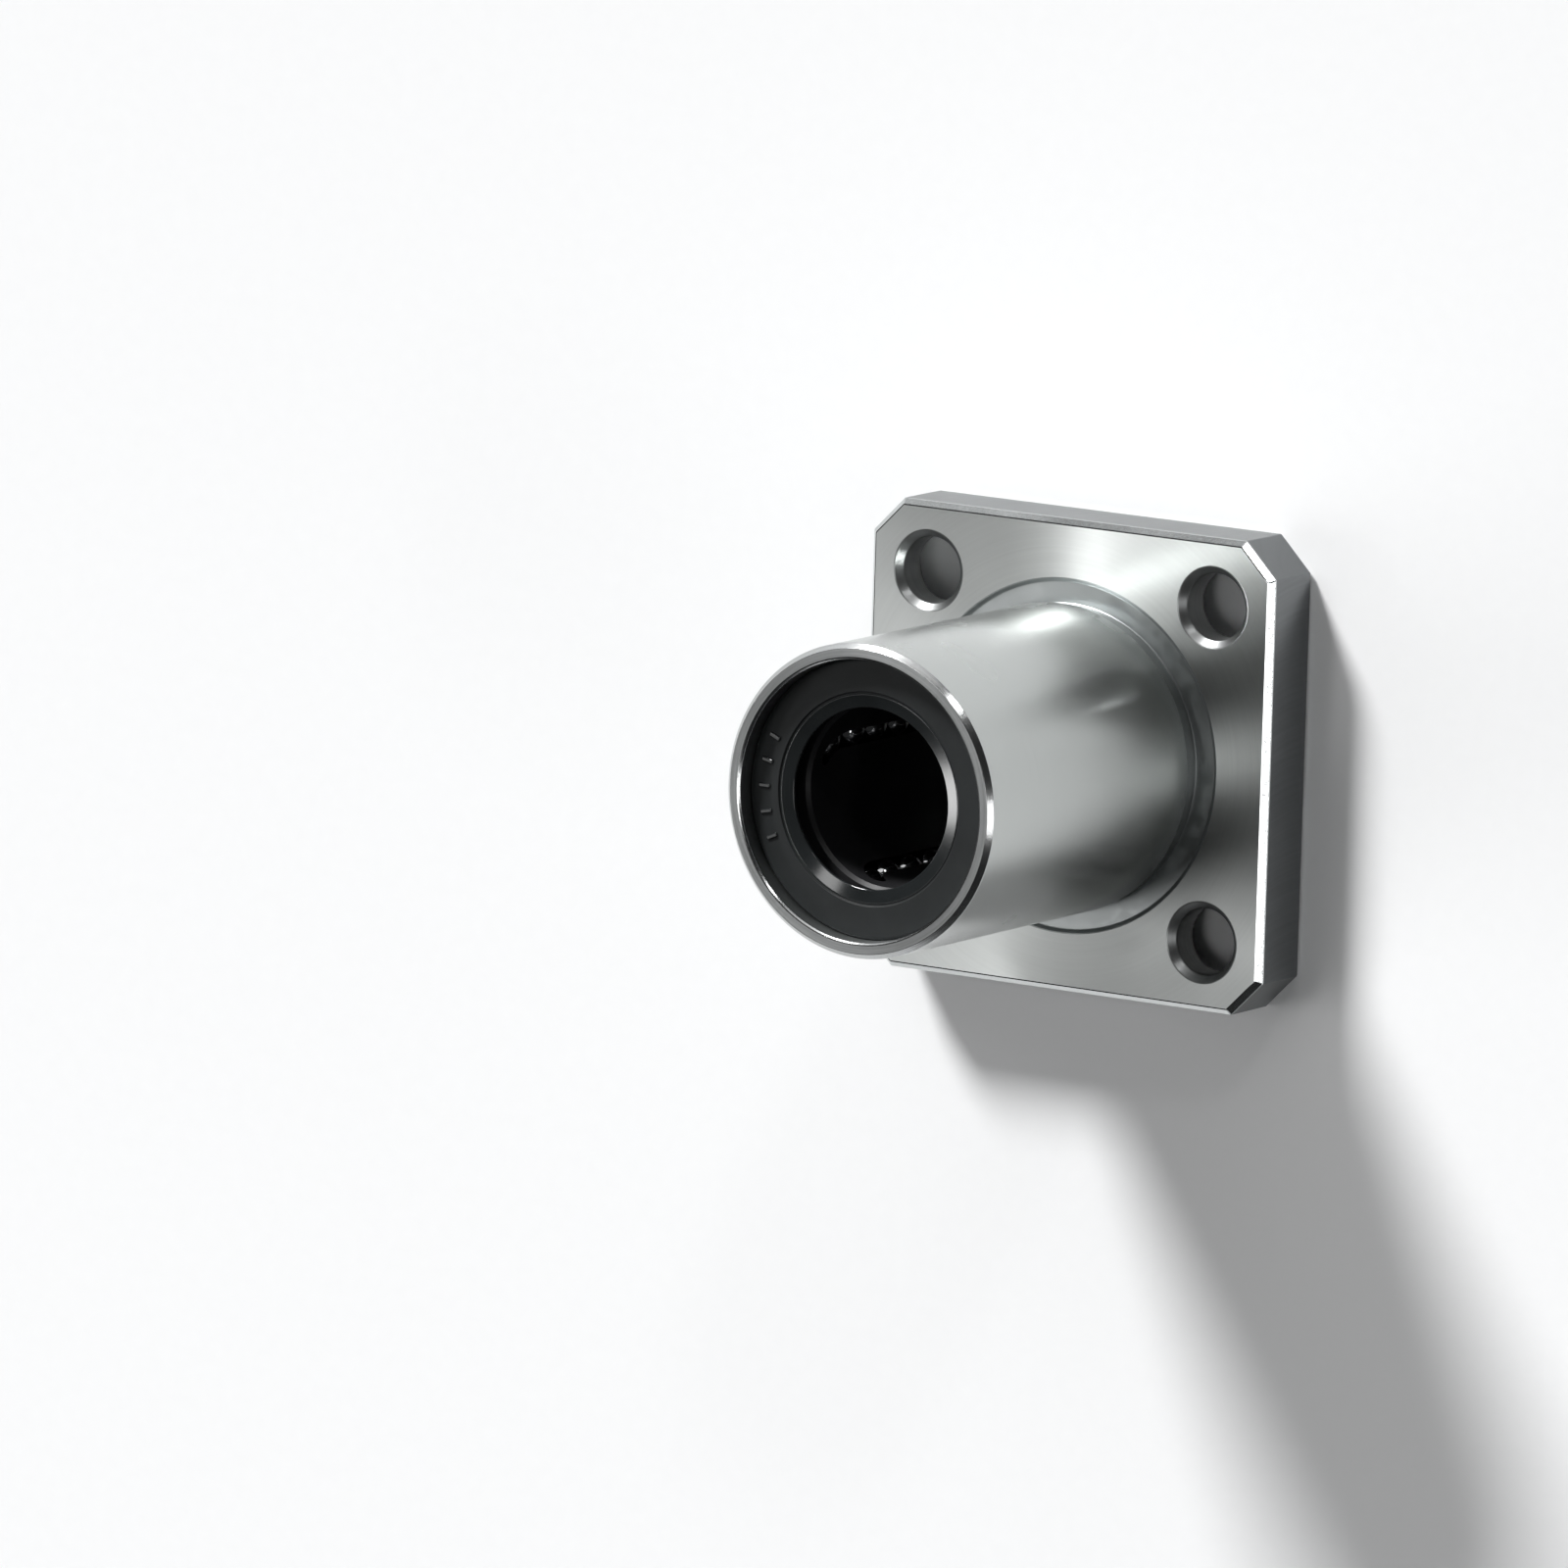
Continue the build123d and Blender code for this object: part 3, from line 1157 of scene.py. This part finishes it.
@dataclass
class BallCircuits:
    """The four recirculating circuits of balls, in millimetres."""

    finishes: Finishes
    ball_radius: float = 1.1905
    ball_pitch: float = 2.7
    balls_per_straight: int = 6
    balls_per_turn: int = 2
    track_height: float = 7.1905
    middle_height: float = 15.0
    angles: tuple[float, ...] = (64.0, 154.0, 244.0, 334.0)
    cuts: int = 11
    turn_radius: float = field(init=False)
    half_straight: float = field(init=False)

    def __post_init__(self) -> None:
        """Work out the oval track from the ball pitch."""
        self.turn_radius = self.balls_per_turn * self.ball_pitch / math.pi
        self.half_straight = self.balls_per_straight * self.ball_pitch / 2

    def ball(self) -> Piece:
        """One ball at the origin, cast round from a divided block.

        Returns:
            The ball.
        """
        ball = Bench.box("ball", (2 * self.ball_radius,) * 3, (0, 0, 0))
        with Bench.editing(ball):
            bpy.ops.mesh.select_all(action="SELECT")
            bpy.ops.mesh.subdivide(number_cuts=self.cuts)
            bpy.ops.mesh.select_all(action="SELECT")
            bpy.ops.transform.tosphere(value=1.0)
        reach = ball.data.vertices[0].co.length
        ball.scale = (self.ball_radius / reach,) * 3
        Bench.settle(ball)
        Bench.pick(ball)
        bpy.ops.object.shade_smooth()
        ball.data.materials.append(self.finishes.ball.make())
        return ball

    def spots(self, group: Group) -> list[tuple[float, float]]:
        """Places of a group's balls: across towards the return row, and along the shaft.

        Args:
            group: which group.

        Returns:
            The places in the circuit's own plane.
        """
        middle = (self.balls_per_straight - 1) / 2
        rows = [(step - middle) * self.ball_pitch for step in range(self.balls_per_straight)]
        if group is Group.LOADED:
            return [(0.0, along) for along in rows]
        if group is Group.RETURN:
            return [(2 * self.turn_radius, along) for along in rows]
        side = 1 if group is Group.FRONT_TURN else -1
        turns = [(step + 0.5) * math.pi / self.balls_per_turn for step in range(self.balls_per_turn)]
        return [
            (
                self.turn_radius * (1 - math.cos(turn)),
                side * (self.half_straight + self.turn_radius * math.sin(turn)),
            )
            for turn in turns
        ]

    def build(self) -> None:
        """Model one ball and copy it into every group of every circuit."""
        pattern = self.ball()
        for number, angle in enumerate(self.angles, start=1):
            turn = math.radians(angle)
            outward = Vector((math.cos(turn), math.sin(turn), 0))
            across = Vector((-math.sin(turn), math.cos(turn), 0))
            for group in Group:
                balls = []
                for step, (aside, along) in enumerate(self.spots(group)):
                    ball = Bench.copy(pattern, f"ball_{group.value}_{number}_{step}")
                    ball.location = outward * self.track_height + across * aside
                    ball.location.z = self.middle_height + along
                    Bench.settle(ball)
                    balls.append(ball)
                Bench.pick(*balls)
                bpy.ops.object.join()
                piece = bpy.context.object
                piece.name = f"{group.value}_{number}_polished"
                Bench.to_metres(piece)
                mount(piece, f"{group.value}_{number}", [f"{group.value}_{number}"])
        bpy.data.objects.remove(pattern)


# ---------------------------------------------------------------- the studio


@dataclass(frozen=True)
class Lamp:
    """A distant soft lamp."""

    name: str
    towards: Triple
    spread: float
    level: float

    def hang(self) -> None:
        """Add the lamp, unseen by the camera."""
        data = bpy.data.lights.new(self.name, "SUN")
        data.angle = math.radians(self.spread)
        data.energy = self.level * math.pi
        lamp = put_in_scene(self.name, data)
        lamp.rotation_euler = Vector(self.towards).to_track_quat("Z", "Y").to_euler()
        lamp.visible_camera = False


@dataclass(frozen=True)
class Strip:
    """A strip lamp one metre from the bearing, its long side across the shaft."""

    name: str
    towards: Triple
    width: float
    length: float
    brightness: float
    distance: float = 1.0

    def hang(self) -> None:
        """Add the lamp, unseen by the camera."""
        data = bpy.data.lights.new(self.name, "AREA")
        data.shape = "RECTANGLE"
        data.size = self.width
        data.size_y = self.length
        data.energy = self.brightness * math.pi * self.width * self.length
        lamp = put_in_scene(self.name, data)
        away = Vector(self.towards).normalized()
        across = Vector((0, 1, 0)).cross(away).normalized()
        turn = Matrix((across, away.cross(across), away)).transposed()
        lamp.matrix_world = Matrix.Translation(away * self.distance) @ turn.to_4x4()
        lamp.visible_camera = False


@dataclass
class Studio:
    """Pale floor, soft lamps and the camera at the photograph's viewing angle."""

    floor_colour: Colour = (0.93, 0.935, 0.94)
    floor_reach: float = 6.0
    paper_roughness: float = 0.9
    paper_gain: float = 1.01
    air_colour: Colour = (0.97, 0.985, 1.0)
    sky_level: float = 0.02
    horizon_top: float = 0.06
    horizon_end: float = 0.16
    camera_place: Triple = (0.63607, 0.19576, 0.99878)
    camera_right: Triple = (0.83059, 0.028655, -0.556145)
    camera_up: Triple = (-0.115707, 0.985761, -0.122016)
    camera_back: Triple = (0.544729, 0.165695, 0.822080)
    lens: float = 410.28
    sensor_width: float = 36
    clip_start: float = 0.01
    clip_end: float = 10
    lamps: tuple[Lamp, ...] = (
        Lamp("key_lamp", (-0.42, 0.80, 0.42), spread=13, level=1.58),
        Lamp("fan_lamp", (-0.36, 0.19, 0.91), spread=12, level=0.06),
        Lamp("wide_lamp", (-0.545, -0.166, 0.822), spread=24, level=0.05),
        Lamp("corner_lamp", (0.39, 0.77, 0.50), spread=7, level=0.05),
        Lamp("bore_lamp", (-0.07, 0.80, 0.60), spread=36, level=0.08),
        Lamp("side_lamp", (0.24, -0.10, 0.97), spread=16, level=0.07),
    )
    strips: tuple[Strip, ...] = (
        Strip("left_strip", (-0.79, -0.17, 0.58), width=0.08, length=0.42, brightness=11.0),
        Strip("right_strip", (0.82, -0.15, 0.55), width=0.06, length=0.30, brightness=7.0),
    )

    def floor(self) -> None:
        """Lay a wide pale floor under the flange."""
        bpy.ops.mesh.primitive_plane_add(size=self.floor_reach)
        floor = bpy.context.object
        floor.name = "studio_floor"
        sheet = NodeSheet("studio_paper")
        grain = sheet.noise(sheet.position(), PAPER_GRAIN, 3.0)
        paler = tuple(min(part * self.paper_gain, 1.0) for part in self.floor_colour)
        mixed = sheet.blend_colours(sheet.spread(grain, 0, 1), self.floor_colour, paler)
        look = {"Base Color": mixed, "Roughness": self.paper_roughness, "Specular IOR Level": 0.0}
        sheet.feed(sheet.shader, look)
        floor.data.materials.append(sheet.material)

    def sky(self) -> None:
        """Add dim air with a pale horizon, so that a low view has a pale background too."""
        world = bpy.data.worlds.new("studio_air")
        bpy.context.scene.world = world
        world.use_nodes = True
        tree = world.node_tree
        background = tree.nodes["Background"]
        background.inputs["Color"].default_value = (*self.air_colour, 1)
        heading = tree.nodes.new("ShaderNodeTexCoord")
        parts = tree.nodes.new("ShaderNodeSeparateXYZ")
        fade = tree.nodes.new("ShaderNodeMapRange")
        for name, number in (
            ("From Min", self.horizon_top),
            ("From Max", self.horizon_end),
            ("To Min", 1.0),
            ("To Max", self.sky_level),
        ):
            fade.inputs[name].default_value = number
        tree.links.new(heading.outputs["Generated"], parts.inputs[0])
        tree.links.new(parts.outputs[2], fade.inputs["Value"])
        tree.links.new(fade.outputs[0], background.inputs["Strength"])

    def camera(self) -> None:
        """Set up the camera for the photograph's view."""
        data = bpy.data.cameras.new("studio_camera")
        data.sensor_width = self.sensor_width
        data.lens = self.lens
        data.clip_start = self.clip_start
        data.clip_end = self.clip_end
        camera = put_in_scene("studio_camera", data)
        turn = Matrix((self.camera_right, self.camera_up, self.camera_back)).transposed()
        camera.matrix_world = Matrix.Translation(self.camera_place) @ turn.to_4x4()
        bpy.context.scene.camera = camera

    def build(self) -> None:
        """Set up the floor, the light and the camera."""
        self.floor()
        self.sky()
        for lamp in (*self.lamps, *self.strips):
            lamp.hang()
        self.camera()
        bpy.context.scene.view_settings.view_transform = "Standard"


def main() -> None:
    """Build the bearing's looks and the studio round the frame."""
    logging.basicConfig(level=logging.INFO, format="%(name)s: %(message)s")
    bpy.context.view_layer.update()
    finishes = Finishes()
    for part in (
        Sleeve(finishes),
        EndSeals(finishes),
        InnerRings(finishes),
        BallCircuits(finishes),
        Studio(),
    ):
        part.build()
        log.info("%s done", type(part).__name__)


if __name__ == "__main__":
    main()
